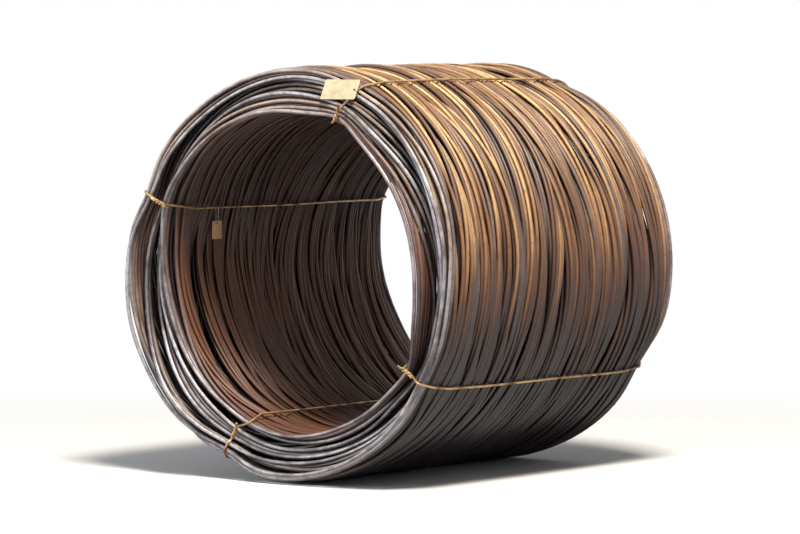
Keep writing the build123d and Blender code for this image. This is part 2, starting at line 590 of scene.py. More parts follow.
@dataclass
class RodBundle:
    """The rings of rod: laid one on the next as they drop into the tub, then pressed and tied."""

    shape: CoilShape
    finish: bpy.types.Material
    seed: int = 11
    stations: int = 120
    sides: int = 8
    groups: int = 5

    # How far a ring strays from a circle round the coil's axis.
    offset: float = 86 * MM
    offset_shares: tuple = (0.78, 1.0)
    phase_step: tuple = (17, 14)  # degrees from ring to ring: the mean and the spread
    shift: float = 4 * MM
    wobble: float = 6 * MM
    wobble_waves: tuple = (2, 3, 4)
    push: float = 1.05
    wall_grip: int = 6
    unevenness: float = 20 * MM

    # How the rings drop on each other.
    radial_step: float = 2 * MM
    past_bore: float = 40 * MM
    past_outside: float = 60 * MM
    contact: float = 11.4 * MM
    slack: float = 420 * MM
    stiffness: float = 2.8  # stations
    middle_waves: tuple = ((24 * MM, 1, -1.0), (12 * MM, 2, 0.4))  # size, waves round the coil, phase

    # The last rings, which lie side by side in lanes, three of them slack at the front.
    end_rings: float = 46 * MM
    end_layers: int = 3
    lanes: tuple = (3, -2, 1, -3, 2, -1, 0)
    lane_pitch: float = 22 * MM
    lane_offset: float = 9 * MM
    lane_offset_shares: tuple = (0.6, 1.2)
    lane_phase_step: tuple = (60, 180)  # degrees, from and to
    loose_bulge: float = 30 * MM
    # Each slack ring's lane, its share of the bulge and the degrees that it leaves and comes back at.
    loose_parts: tuple = ((2, 0.7, 181, 240), (3, 1.0, 186, 243), (-3, -0.4, 258, 322))

    # How the pile is pressed and tied.
    peak_spread: float = 3.0  # stations
    drawn_in: float = 0.36  # of the way to the wall's middle
    drawn_reach: float = 0.8  # of the dip's reach
    front_spread: float = 0.06  # of the half length
    back_spread: float = 0.02
    end_power: int = 34  # the higher these two, the fewer rings count as the end's
    edge_power: int = 9
    over_edge: float = 1.2

    # What the finish reads, also for the shade that it paints where rods cover each other.
    clean_rings: int = 11
    tone_middle: float = 0.48
    tone_drift: float = 0.15
    drift_step: float = 0.16
    tone_spread: float = 0.3
    pattern_step: float = 1.7
    bore_share: float = 0.4
    beside_reach: float = 1.5  # rods
    level_reach: float = 2.2  # rods
    end_cover: float = 0.9

    # How the pale tag looks for its rest.
    rest_reach: float = 100 * MM
    rest_slopes_x: tuple = (-0.4, 0.4, 33)  # from, to, tries
    rest_slopes_z: tuple = (-0.3, 1.1, 57)
    points_between: int = 16

    radius: np.ndarray = field(init=False)
    along: np.ndarray = field(init=False)
    end_share: np.ndarray = field(init=False)

    def __post_init__(self) -> None:
        """Sets up the angles and the random source, and lays the rings."""
        self.random = np.random.default_rng(self.seed)
        self.angles = np.linspace(0, 2 * np.pi, self.stations, endpoint=False)
        innermost, outermost = self.shape.bore - self.past_bore, self.shape.outside + self.past_outside
        self.radii = np.arange(innermost, outermost, self.radial_step)
        gap = np.angle(np.exp(1j * (self.angles[:, None] - self.angles[None, :])))
        self.sag = self.slack * gap**2
        self.lay()

    def ring_radius(self, phase: float, off: float, lane: float = 0.0) -> np.ndarray:
        """The distance from the axis, all round one ring that lies off centre.

        Args:
            phase: the direction in which the ring lies off centre.
            off: how far it would lie off centre if nothing held it.
            lane: how far it lies outside the wall's middle on average.

        Returns:
            The radius at each angle.
        """
        # Where it would lie if nothing held it.
        aside = lane + self.random.normal(0, self.shift) + off * np.cos(self.angles - phase)
        for waves in self.wobble_waves:
            size = self.random.normal(0, self.wobble / waves)
            aside = aside + size * np.cos(waves * self.angles + self.random.uniform(0, 2 * np.pi))

        # The tub and its middle post hold it in, closer at some angles than at others.
        sinking = 1 + np.cos(self.random.integers(1, 4) * self.angles + self.random.uniform(0, 2 * np.pi))
        sunk = self.unevenness * self.random.random() * sinking / 2
        limit = (self.shape.wall - self.shape.rod) / 2 - sunk
        held = (1 + np.abs(aside / limit) ** self.wall_grip) ** (1 / self.wall_grip)
        return self.shape.centre_radius + np.clip(self.push * aside / held, -limit, limit)

    def loose_part(self, start: float, end: float) -> np.ndarray:
        """How far a slack ring stands out between two places where the ties hold it.

        Args:
            start: the angle in degrees where it leaves the bundle.
            end: the angle in degrees where it comes back.

        Returns:
            A share from 0 to 1 at each angle.
        """
        share = (np.degrees(self.angles) - start) / (end - start)
        return np.where((share > 0) & (share < 1), np.sin(np.pi * share) ** 2, 0.0)

    def smoothed(self, values: np.ndarray, spread: float) -> np.ndarray:
        """Values round a ring, evened out.

        Args:
            values: one value at each angle.
            spread: how many stations they are spread over.

        Returns:
            The smoother values.
        """
        reach = int(3 * spread)
        steps = np.arange(-reach, reach + 1)
        weights = np.exp(-0.5 * (steps / spread) ** 2)
        weights /= weights.sum()
        wrapped = np.concatenate([values[-reach:], values, values[:reach]])
        return np.convolve(wrapped, weights, mode="valid")

    def stack(
        self, first: np.ndarray, height: float, slack_rings: dict
    ) -> list[tuple[np.ndarray, np.ndarray]]:
        """Drops rings one on the next until the pile is high enough. The last ones lie side by side in lanes.

        Args:
            first: the height that the pile starts from, at each angle.
            height: the height to reach.
            slack_rings: how far the last ring in a lane stands out at each angle, by lane.

        Returns:
            Each ring's radius and height at each angle.
        """
        across = np.arange(self.stations)
        top = np.repeat(first[None, :], len(self.radii), axis=0)
        rings = []
        phase = self.random.uniform(0, 2 * np.pi)
        reached = 0.0
        to_lay = [lane for _ in range(self.end_layers) for lane in self.lanes]
        while reached < height - self.end_rings or to_lay:
            phase += math.radians(self.random.normal(*self.phase_step))
            if reached < height - self.end_rings:
                off = self.random.uniform(*self.offset_shares) * self.offset
                radius = self.ring_radius(phase, off)
            else:
                lane = to_lay.pop(0)
                phase += math.radians(self.random.uniform(*self.lane_phase_step))
                off = self.random.uniform(*self.lane_offset_shares) * self.lane_offset
                radius = self.ring_radius(phase, off, lane * self.lane_pitch)
                if len(to_lay) < len(self.lanes):
                    radius = radius + slack_rings.get(lane, 0.0)

            # The ring rests on the highest places under it and sags between them.
            row = ((radius - self.radii[0]) / self.radial_step).astype(int)
            rests = np.maximum(top[row, across], top[row + 1, across])
            level = self.smoothed((rests[None, :] - self.sag).max(axis=1), self.stiffness)

            # It becomes part of the pile that the next one drops on.
            away = np.abs(self.radii[:, None] - radius[None, :])
            lift = np.sqrt(np.maximum(self.contact**2 - away**2, 0))
            top = np.where(away < self.contact, np.maximum(top, level[None, :] + lift), top)
            rings.append((radius, level))
            reached = level.mean()
        return rings

    def press(self, rings: list, line: np.ndarray, spread: float) -> tuple[np.ndarray, np.ndarray]:
        """Presses one half of the pile to its length, with its edges rounded and its ends tied in.

        Args:
            rings: each ring's radius and height.
            line: the height that the pile started from.
            spread: the share of the length that the last, loosest rings take up.

        Returns:
            The rings' radii and places along the axis, at each angle.
        """
        shape = self.shape
        radius = np.array([ring[0] for ring in rings])
        heights = np.array([ring[1] for ring in rings])

        # Each rod's share of the way from the line to the end, with the last rings spread out.
        peak = self.smoothed(heights.max(axis=0), self.peak_spread)
        peak += (heights.max(axis=0) - peak).max()
        share = (heights - line) / (peak - line)
        reach = np.clip(share, 0, 1)
        share = share + spread * (reach**self.end_power - reach)
        near_end = reach**self.edge_power

        # The ties draw the last rings towards the wall's middle.
        drawn = shape.near_tie(self.angles, self.drawn_reach * shape.dip_reach)
        inward = 1 - self.drawn_in * drawn * near_end
        radius = shape.centre_radius + (radius - shape.centre_radius) * inward

        # The end dips under the ties, and its two edges are rounded.
        end = shape.half - shape.rod / 2 - shape.dip * shape.near_tie(self.angles, shape.dip_reach)
        from_edge = shape.wall / 2 - np.abs(radius - shape.centre_radius)
        rounding = np.clip(1 - from_edge / shape.edge, 0, self.over_edge) ** 2 * shape.edge
        level = line + (end - line) * share - rounding * near_end

        # The rod that stands out most is brought to the coil's end, and none goes past the dips.
        short = shape.half - shape.rod / 2 - level.max()
        return radius, np.minimum(level + short * near_end, end)

    def lay(self) -> None:
        """Lays both halves of the bundle, from its middle outwards, and orders the rings from the back."""
        middle = sum(size * np.cos(waves * self.angles + phase) for size, waves, phase in self.middle_waves)
        hanging = {
            lane: share * self.loose_bulge * self.loose_part(start, end)
            for lane, share, start, end in self.loose_parts
        }
        radii, places, ends = [], [], []
        for side, slack_rings, spread in ((1, {}, self.back_spread), (-1, hanging, self.front_spread)):
            line = side * middle
            rings = self.stack(line, self.shape.half, slack_rings)
            radius, level = self.press(rings, line, spread)
            radii.append(radius)
            places.append(side * level)
            from_end = np.arange(len(rings))[::-1]
            ends.append(np.exp(-((from_end / self.clean_rings) ** 2)))
        place = np.concatenate(places)
        order = np.argsort(-place.mean(axis=1), kind="stable")
        self.along = place[order]
        self.radius = np.concatenate(radii)[order]
        self.end_share = np.concatenate(ends)[order]

    def openness(self) -> np.ndarray:
        """How openly each ring lies at each angle; the rod finish paints shade where it is low.

        Returns:
            1 where it is open to the outside, to the bore or to the nearer end, and less where rods
            cover it on all three.
        """
        rod = self.shape.rod
        result = np.zeros_like(self.radius)
        for station in range(self.stations):
            radius, y = self.radius[:, station], self.along[:, station]
            out = radius[None, :] - radius[:, None]
            aside = y[None, :] - y[:, None]

            # How much lies over each rod: on its outer side, on its bore side and towards the nearer end.
            beside = np.clip(1 - np.abs(aside) / (self.beside_reach * rod), 0, 1)
            level = np.clip(1 - np.abs(out) / (self.level_reach * rod), 0, 1)
            from_out = (beside * np.clip(out / rod, 0, 1)).sum(axis=1)
            from_bore = (beside * np.clip(-out / rod, 0, 1)).sum(axis=1)
            towards_end = aside * np.sign(y)[:, None]
            from_end = (level * np.clip(towards_end / rod, 0, 1)).sum(axis=1)
            cover = np.minimum(np.minimum(from_out, from_bore), self.end_cover * from_end)
            result[:, station] = np.exp(-cover)
        return result

    def sections(self, angles: np.ndarray) -> np.ndarray:
        """Where the rods pass through the coil's wall.

        Args:
            angles: places round the coil, from 0 to a whole turn.

        Returns:
            Each rod's distance from the axis and place along it, at each angle.
        """
        spots = angles / (2 * np.pi) * self.stations
        first = spots.astype(int) % self.stations
        second, share = (first + 1) % self.stations, spots - spots.astype(int)
        radius = self.radius[:, first] * (1 - share) + self.radius[:, second] * share
        y = self.along[:, first] * (1 - share) + self.along[:, second] * share
        return np.stack([radius, y], axis=-1)

    def rods_near(self, place: Vector, reach: float) -> np.ndarray:
        """Finds the rods round a place.

        Args:
            place: the place.
            reach: how far they may be from it in X, Y and Z.

        Returns:
            Points on the rods' middle lines.
        """
        turn = np.linspace(0, 2 * np.pi, self.points_between * self.stations, endpoint=False)
        radius, y = np.moveaxis(self.sections(turn), -1, 0)
        x, z = radius * np.cos(turn), self.shape.outside + radius * np.sin(turn)
        points = np.stack([x, y, z], axis=-1).reshape(-1, 3)
        return points[(np.abs(points - np.array(place)) < reach).all(axis=1)]

    def front_rest(
        self, size: Vector, middle: Vector, pulled: Vector, tie: list, wire: float
    ) -> tuple[float, float, float]:
        """How a flat plate lies on the front end when a wire pulls it against the rods.

        Args:
            size: the plate's length along X and its width along Z.
            middle: where its middle would be.
            pulled: where the wire pulls.
            tie: points on the middle line of the tie that it may rest on too.
            wire: the tie's thickness.

        Returns:
            The plate's place along the coil's axis in its middle, and its slopes along X and Z.
        """
        rods = self.rods_near(middle, self.rest_reach)
        x, y, z = (np.concatenate([rods, tie]) - np.array(middle)).T
        thick = np.repeat([self.shape.rod / 2, wire / 2], [len(rods), len(tie)])

        # The rods and the tie hold it off, and it takes the slopes at which it lies furthest back.
        best = (-math.inf, 0.0, 0.0, 0.0)
        for slope_x in np.linspace(*self.rest_slopes_x):
            for slope_z in np.linspace(*self.rest_slopes_z):
                wide = size.x / 2 / math.hypot(1, slope_x) + self.shape.rod / 2
                tall = size.z / 2 / math.hypot(1, slope_z) + self.shape.rod / 2
                behind = (np.abs(x) < wide) & (np.abs(z) < tall)
                surface = y - math.hypot(1, slope_x, slope_z) * thick
                place = (surface - slope_x * x - slope_z * z)[behind].min()
                at_wire = place + slope_x * (pulled.x - middle.x) + slope_z * (pulled.z - middle.z)
                best = max(best, (float(at_wire + place), float(place), float(slope_x), float(slope_z)))
        return best[1] + middle.y, best[2], best[3]

    def mesh(self, name: str, chosen: slice, values: dict) -> bpy.types.Object:
        """Joins rings of rod into one mesh.

        Args:
            name: the object's name.
            chosen: which rings.
            values: numbers to store on the mesh, by name, one for each ring and angle.

        Returns:
            The object.
        """
        radius, along = self.radius[chosen][:, :, None], self.along[chosen][:, :, None]
        count = len(radius)
        around = np.linspace(0, 2 * np.pi, self.sides, endpoint=False)[None, None, :]
        turn = self.angles[None, :, None]
        out = radius + self.shape.rod / 2 * np.cos(around)
        aside = along + self.shape.rod / 2 * np.sin(around)
        points = np.stack([out * np.cos(turn), aside, self.shape.outside + out * np.sin(turn)], axis=-1)

        ring = np.arange(count)[:, None, None] * self.stations * self.sides
        here = np.arange(self.stations)[None, :, None]
        side = np.arange(self.sides)[None, None, :]
        start, end = ring + here * self.sides, ring + (here + 1) % self.stations * self.sides
        next_side = (side + 1) % self.sides
        corners = [start + side, start + next_side, end + next_side, end + side]
        faces = np.stack(corners, axis=-1).reshape(-1, 4)

        mesh = bpy.data.meshes.new(name)
        mesh.vertices.add(count * self.stations * self.sides)
        mesh.vertices.foreach_set("co", points.astype(np.float32).ravel())
        mesh.loops.add(faces.size)
        mesh.loops.foreach_set("vertex_index", faces.astype(np.int32).ravel())
        mesh.polygons.add(len(faces))
        mesh.polygons.foreach_set("loop_start", np.arange(0, faces.size, 4, dtype=np.int32))
        mesh.polygons.foreach_set("use_smooth", np.ones(len(faces), dtype=bool))
        mesh.update(calc_edges=True)
        for label, numbers in values.items():
            each = numbers[chosen].astype(np.float32).ravel()
            stored = mesh.attributes.new(label, "FLOAT", "POINT")
            stored.data.foreach_set("value", np.repeat(each, self.sides))
        piece = bpy.data.objects.new(name, mesh)
        bpy.context.scene.collection.objects.link(piece)
        return piece

    def build(self) -> None:
        """Makes the rings' meshes and hands them over, split along the coil's length."""
        count = len(self.radius)
        drift = np.cumsum(self.random.normal(0, self.drift_step, count))
        drift -= np.linspace(drift[0], drift[-1], count)
        own = self.random.normal(0, self.tone_spread, count)
        tones = np.clip(self.tone_middle + self.tone_drift * drift + own, 0, 1)
        inwards = (self.shape.centre_radius - self.radius) / (self.bore_share * self.shape.wall)
        ones = np.ones((1, self.stations))
        values = {
            "tone": tones[:, None] * ones,
            "ring": self.pattern_step * np.arange(count)[:, None] * ones,
            "end_share": self.end_share[:, None] * ones,
            "inner": np.clip(inwards, 0, 1),
            # The finish paints shade where other rods cover a rod.
            "open": self.openness(),
        }
        LOG.info("%d rings of rod", count)
        cuts = np.linspace(0, count, self.groups + 1).astype(int)
        for number, (first, last) in enumerate(zip(cuts[:-1], cuts[1:]), start=1):
            piece = self.mesh(f"rod_rings_{number}", slice(first, last), values)
            hand_over(piece, self.finish, "rod_coil")


def wrapped_line(centres: np.ndarray, reach: float) -> list[tuple[float, float]]:
    """A taut line round a set of rods that are cut across.

    Args:
        centres: the middle of each rod.
        reach: how far the line runs from the middle of the rods that it bears on.

    Returns:
        Control points for a smooth line, counter-clockwise from the lowest rod.
    """
    # The rods on the outside of the set, which the line bears on.
    ordered = sorted(map(tuple, centres), key=lambda spot: (spot[1], spot[0]))
    corners: list[tuple[float, float]] = []
    for sweep in (ordered, ordered[::-1]):
        kept: list[tuple[float, float]] = []
        for spot in sweep:
            while len(kept) > 1:
                (ax, ay), (bx, by) = kept[-2:]
                if (bx - ax) * (spot[1] - ay) - (by - ay) * (spot[0] - ax) > 0:
                    break
                kept.pop()
            kept.append(spot)
        corners.extend(kept[:-1])

    # The line bends round each of them, in steps that a smooth curve follows closely.
    line = []
    for before, here, after in zip(corners[-1:] + corners[:-1], corners, corners[1:] + corners[:1]):
        arriving = math.atan2(here[1] - before[1], here[0] - before[0])
        turn = (math.atan2(after[1] - here[1], after[0] - here[0]) - arriving) % (2 * math.pi)
        parts = max(1, math.ceil(turn / WIDEST_BEND))
        touching = turn > STRAIGHT_ON
        stops = [(0.0, reach)] if touching else []
        stops += [((part + 0.5) / parts, reach / math.cos(turn / parts / 2)) for part in range(parts)]
        stops += [(1.0, reach)] if touching else []
        for share, far in stops:
            outwards = arriving + turn * share - math.pi / 2
            line.append((here[0] + far * math.cos(outwards), here[1] + far * math.sin(outwards)))
    return line


@dataclass
class TieWires:
    """The four tie wires, pulled tight round the rings, with their ends twisted together at the front."""

    bundle: RodBundle
    finish: bpy.types.Material
    wire: float = 7 * MM
    gap: float = 0.2 * MM
    bore_gap: float = 3 * MM
    bearing_at: float = 0.75  # of the coil's half length
    longest_step: float = 150 * MM

    # The knot and its two tails, bent forwards and aside at a share of their length.
    knot_from_bore: float = 47 * MM
    knot_length: float = 36 * MM
    knot_turns: float = 1.5
    knot_steps: int = 12
    knot_spacing: float = 0.54  # wires, from the knot's middle to each of its two
    knot_clear: float = 6 * MM
    tail: float = 13 * MM
    tail_bends: tuple = ((0.5, 1.5 * MM, 0.6 * MM), (1.0, 4.5 * MM, 2.2 * MM))

    # How far the wires stray to the side, and how fast that changes by tie, along it and across it.
    stray: float = 1.6 * MM
    stray_by_tie: float = 1.7
    stray_along: float = 9
    stray_across: float = 14

    lines: dict = field(init=False)

    def __post_init__(self) -> None:
        """Finds each tie's line round the rings."""
        shape = self.bundle.shape
        reach = shape.rod / 2 + self.wire / 2 + self.gap

        # In the bore a tie runs clear of the rods, as if it bore on two more that stand in from them.
        bridge = shape.bore - self.bore_gap - self.wire / 2 + reach
        self.lines = {}
        for name, angle in shape.ties.items():
            centres = self.bundle.sections(np.array([angle]))[:, 0]
            bearing = [(bridge, share * shape.half) for share in (-self.bearing_at, self.bearing_at)]
            self.lines[name] = wrapped_line(np.concatenate([centres, bearing]), reach)

    def crossing(self, name: str, radius: float) -> tuple[int, tuple[float, float]]:
        """Where a tie's line passes over the front end.

        Args:
            name: which tie.
            radius: the distance from the coil's axis.

        Returns:
            The number of the line's next point, and the point where it passes.
        """
        line = self.lines[name]
        for number, (before, after) in enumerate(zip(line[-1:] + line[:-1], line)):
            if before[1] < 0 and before[0] <= radius < after[0]:
                share = (radius - before[0]) / (after[0] - before[0])
                return number, (radius, before[1] + (after[1] - before[1]) * share)
        raise ValueError(f"tie {name} does not pass {radius} on the front end")

    def strand(self, knot: float, lay: float, end: int) -> list[tuple[float, float, float]]:
        """One of a tie's ends, wound round the other.

        Args:
            knot: the knot's distance from the coil's axis.
            lay: the place of the tie along the coil's axis there.
            end: 1 for the end that comes from outside, -1 for the one from the bore.

        Returns:
            Points as distance from the axis, place along it and step aside.
        """
        steps = self.knot_steps
        points = []
        spacing = self.knot_spacing * self.wire
        for step in range(steps + 1):
            turned = 2 * math.pi * self.knot_turns * step / steps
            radius = knot + end * self.knot_length * (0.5 - step / steps)
            y = lay - spacing + spacing * math.cos(turned)
            points.append((radius, y, end * spacing * math.sin(turned)))
        radius, y, side = points[-1]
        for share, forwards, aside in self.tail_bends:
            points.append((radius - end * share * self.tail, y - forwards, side + end * aside))
        return points

    def wander(self, name: str, radius: float, y: float) -> float:
        """How far a tie strays to the side at one point of its line.

        Args:
            name: which tie.
            radius: the point's distance from the coil's axis.
            y: its place along the axis.

        Returns:
            The step aside.
        """
        phase = self.stray_by_tie * list(self.lines).index(name)
        return self.stray * math.sin(phase + self.stray_along * y + self.stray_across * radius)

    def route(self, name: str) -> list[tuple[float, float, float]]:
        """One tie's control points, from one twisted end to the other.

        Args:
            name: which tie.

        Returns:
            Points as distance from the axis, place along it and step aside.
        """
        # The line from the knot's outer side, all round the wall, to its inner side.
        line = self.lines[name]
        knot = self.bundle.shape.bore + self.knot_from_bore
        clear = self.knot_length / 2 + self.knot_clear
        leaves, first = self.crossing(name, knot + clear)
        returns, last = self.crossing(name, knot - clear)
        turned = line[leaves:] + line[:leaves]
        count = (returns - leaves) % len(line) or len(line)
        kept = [first, *turned[:count], last]

        # Long straight stretches get more points, so that they can stray to the side.
        middle = []
        for spot, following in zip(kept, kept[1:] + kept[-1:]):
            middle.append(spot)
            parts = int(math.dist(spot, following) / self.longest_step)
            for part in range(1, parts + 1):
                share = part / (parts + 1)
                middle.append(tuple(a + (b - a) * share for a, b in zip(spot, following)))

        # The knot lies on the rod that stands out most under it and its tails.
        under = np.linspace(-self.knot_length / 2 - self.tail, self.knot_length / 2, self.knot_steps + 1)
        lay = min(self.crossing(name, knot + step)[1][1] for step in under)
        aside = [(radius, y, self.wander(name, radius, y)) for radius, y in middle]
        return [*reversed(self.strand(knot, lay, 1)), *aside, *self.strand(knot, lay, -1)]

    def build(self) -> None:
        """Bends the four wires and hands them over."""
        shape = self.bundle.shape
        for name, angle in shape.ties.items():
            points = [shape.place(radius, angle, y, side) for radius, y, side in self.route(name)]
            piece = smooth_wire(f"tie_wire_{name}", points, self.wire / 2)
            hand_over(piece, self.finish, f"tie_{name}")


@dataclass
class TagPlate:
    """A bare tag with a round eye. It is made flat, with its long side along X and its eye near +X."""

    name: str
    length: float
    width: float
    eye: float
    margin: float
    thickness: float = 1 * MM
    corner: float = 5 * MM
    worn_edge: float = 0.2 * MM
    columns: int = 14

    def blank(self) -> bpy.types.Object:
        """Makes the flat tag, its middle at the origin.

        Returns:
            The tag.
        """
        deselect()
        bpy.ops.mesh.primitive_cube_add(size=1, location=(0, 0, 0))
        tag = bpy.context.object
        tag.name = self.name
        tag.scale = (self.length, self.width, self.thickness)
        settle(tag)

        # Its four corners are rounded.
        bpy.ops.object.mode_set(mode="EDIT")
        bpy.ops.mesh.select_mode(type="EDGE")
        bpy.ops.mesh.select_all(action="DESELECT")
        bpy.ops.object.mode_set(mode="OBJECT")
        for edge in tag.data.edges:
            first, second = (tag.data.vertices[index].co for index in edge.vertices)
            edge.select = abs(first.z - second.z) > 0.5 * self.thickness
        bpy.ops.object.mode_set(mode="EDIT")
        bpy.ops.mesh.bevel(offset=self.corner, segments=5, affect="EDGES")
        bpy.ops.object.mode_set(mode="OBJECT")
        self.punch(tag)

        # It is cut across into columns, so that it can be bowed.
        bpy.ops.object.mode_set(mode="EDIT")
        for column in range(1, self.columns):
            bpy.ops.mesh.select_all(action="SELECT")
            x = self.length * (column / self.columns - 0.5)
            bpy.ops.mesh.bisect(plane_co=(x, 0, 0), plane_no=(1, 0, 0))
        bpy.ops.object.mode_set(mode="OBJECT")
        return tag

    def punch(self, tag: bpy.types.Object) -> None:
        """Cuts the eye and wears the edges a little.

        Args:
            tag: the tag's blank.
        """
        deselect()
        centre = (self.length / 2 - self.margin, 0, 0)
        bpy.ops.mesh.primitive_cylinder_add(
            vertices=28, radius=self.eye / 2, depth=4 * self.thickness, location=centre
        )
        tool = bpy.context.object
        settle(tool)
        take(tag)
        cut = tag.modifiers.new("eye", "BOOLEAN")
        cut.object = tool
        cut.operation = "DIFFERENCE"
        bpy.ops.object.modifier_apply(modifier=cut.name)
        bpy.data.objects.remove(tool)
        edge = tag.modifiers.new("edge", "BEVEL")
        edge.width = self.worn_edge
        edge.segments = 2
        edge.limit_method = "ANGLE"
        bpy.ops.object.modifier_apply(modifier=edge.name)

    def bow(self, tag: bpy.types.Object, rise: float, twist: float) -> None:
        """Bends the tag a little, as it has been handled.

        Args:
            tag: the flat tag.
            rise: how far its far end curls up.
            twist: how far its corners are twisted.
        """
        for point in tag.data.vertices:
            share = 0.5 - point.co.x / self.length
            across = 2 * point.co.y / self.width
            point.co.z += rise * share**2 + twist * across * share

    def stand(self, tag: bpy.types.Object, matrix: Matrix) -> None:
        """Puts the tag in its place.

        Args:
            tag: the tag.
            matrix: the move from where it was made.
        """
        tag.data.transform(matrix)
        face_outwards(tag)
        bpy.ops.object.shade_smooth_by_angle(angle=math.radians(35))


@dataclass
class Tags:
    """The pale tag beside the upper right tie and the small tag that hangs in the bore."""

    ties: TieWires
    pale: bpy.types.Material
    tan: bpy.types.Material
    thin: bpy.types.Material
    wire: float = 2 * MM

    # The pale tag on the front end, and the part of its tie that it may rest on.
    face_tie: str = "upper_right"
    face_eye: float = 7 * MM
    face_margin: float = 11 * MM
    face_bow: tuple = (0.6 * MM, 0.2 * MM)
    face_stand_off: float = 0.8  # thicknesses
    tie_depths: tuple = (12 * MM, 75 * MM, 61)  # under the coil's outside: from, to, points

    # Its ring, and the search for a gap between the rods behind it.
    ring_play: float = 5.5 * MM
    ring_parts: int = 40
    ring_points: int = 721
    ring_sample: int = 20  # the search takes one point in so many
    ring_moves: tuple = (-16 * MM, 8 * MM, 49)  # from, to, tries
    ring_room: float = 0.4 * MM
    ring_near: float = 45 * MM
    tie_span: float = 4 * MM

    # The small tag in the bore.
    bore_tie: str = "upper_left"
    bore_eye: float = 6 * MM
    bore_margin: float = 8 * MM
    bore_bow: tuple = (1.2 * MM, -0.6 * MM)
    loop_parts: int = 32

    @property
    def ring_radius(self) -> float:
        """The radius of the middle line of the pale tag's ring."""
        return self.ties.wire / 2 + self.ring_play

    def on_face_tie(self, radius: float) -> Vector:
        """A point on the middle line of the tie that holds the pale tag.

        Args:
            radius: the distance from the coil's axis.

        Returns:
            The point.
        """
        shape = self.ties.bundle.shape
        place = self.ties.crossing(self.face_tie, radius)[1][1]
        side = self.ties.wander(self.face_tie, radius, place)
        return shape.place(radius, shape.ties[self.face_tie], place, side)

    def along_face_tie(self, radius: float) -> Vector:
        """The direction of the tie that holds the pale tag, at a distance from the coil's axis."""
        ends = self.on_face_tie(radius + self.tie_span), self.on_face_tie(radius - self.tie_span)
        return (ends[0] - ends[1]).normalized()

    def ring_line(self, radius: float) -> list[Vector]:
        """The middle line of the pale tag's ring, round the tie and through the gap behind it.

        Args:
            radius: the distance from the coil's axis.

        Returns:
            Its points.
        """
        angle = self.ties.bundle.shape.ties[self.face_tie]
        aside = Vector((-math.sin(angle), 0, math.cos(angle)))
        inwards = aside.cross(self.along_face_tie(radius)).normalized()
        turns = np.linspace(-math.pi, math.pi, self.ring_points)
        middle, size = self.on_face_tie(radius), self.ring_radius
        return [middle + size * (math.cos(turn) * aside + math.sin(turn) * inwards) for turn in turns]

    def ring_place(self, radius: float) -> float:
        """Finds the nearest place along the tie where the pale tag's ring has room between the rods.

        Args:
            radius: about how far from the coil's axis it is.

        Returns:
            The distance from the axis, at the place with the most room where none has enough.
        """
        rods = self.ties.bundle.rods_near(self.on_face_tie(radius), self.ring_near)
        thick = (self.ties.bundle.shape.rod + self.wire) / 2
        found = []
        for moved in np.linspace(*self.ring_moves):
            line = np.array(self.ring_line(radius + moved)[:: self.ring_sample])
            room = np.linalg.norm(line[:, None] - rods[None], axis=-1).min() - thick
            found.append((min(room, self.ring_room), -abs(float(moved)), radius + float(moved)))
        return max(found)[2]

    def face_tag(self, radius: float, hook: Vector) -> None:
        """Builds the pale tag, which leans back on the rods, with its ring through its eye.

        Args:
            radius: its ring's distance from the coil's axis.
            hook: where the frame has its ring.
        """
        # Where it rests when its ring pulls it against the rods and the tie.
        shape = self.ties.bundle.shape
        low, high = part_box("face_tag")
        spot = self.on_face_tie(radius)
        centre = spot + (low + high) / 2 - hook
        tie = [self.on_face_tie(shape.outside - depth) for depth in np.linspace(*self.tie_depths)]
        place, slope_x, slope_z = self.ties.bundle.front_rest(high - low, centre, spot, tie, self.ties.wire)
        along = Vector((1, slope_x, 0)).normalized()
        forward = Vector((slope_x, -1, slope_z)).normalized()
        turn = Matrix((along, forward.cross(along), forward)).transposed().to_4x4()

        # Its eye goes where the left half of the ring passes through its plane.
        plate = TagPlate("front_tag", high.x - low.x, high.z - low.z, self.face_eye, self.face_margin)
        tag = plate.blank()
        plate.bow(tag, *self.face_bow)
        plane = Vector((centre.x, place, centre.z)) + self.face_stand_off * plate.thickness * forward
        left_half = [point for point in self.ring_line(radius)[::-1] if point.x < spot.x]
        eye = min(left_half, key=lambda point: abs((point - plane).dot(forward)))
        middle = eye - (plate.length / 2 - plate.margin) * along
        plate.stand(tag, Matrix.Translation(middle) @ turn)
        hand_over(tag, self.pale, "face_tag")

    def face_ring(self, radius: float) -> None:
        """Builds the pale tag's ring, square to its tie.

        Args:
            radius: its distance from the coil's axis.
        """
        ring = wire_ring("front_tag_ring", self.ring_radius, self.wire, self.ring_parts)
        turn = self.along_face_tie(radius).to_track_quat("Z", "Y").to_matrix().to_4x4()
        self.hang(ring, Matrix.Translation(self.on_face_tie(radius)) @ turn, "face_tag_ring")

    def bore_strayed(self, y: float) -> Vector:
        """How far the tie that holds the small tag strays to the side.

        Args:
            y: the tag's place along the coil's axis.

        Returns:
            The step aside.
        """
        shape = self.ties.bundle.shape
        angle = shape.ties[self.bore_tie]
        radius = shape.bore - self.ties.bore_gap - self.ties.wire / 2
        side = self.ties.wander(self.bore_tie, radius, y)
        return shape.place(radius, angle, 0, side) - shape.place(radius, angle, 0)

    def bore_tag(self, size: Vector, middle: Vector) -> None:
        """Builds the small tag, which hangs straight down under its tie.

        Args:
            size: its size in the frame.
            middle: where its middle is.
        """
        plate = TagPlate("bore_tag_plate", size.z, size.y, self.bore_eye, self.bore_margin)
        tag = plate.blank()
        plate.bow(tag, *self.bore_bow)
        turn = Matrix.Rotation(math.radians(-90), 4, "Y")
        plate.stand(tag, Matrix.Translation(middle) @ turn)
        hand_over(tag, self.tan, "bore_tag")

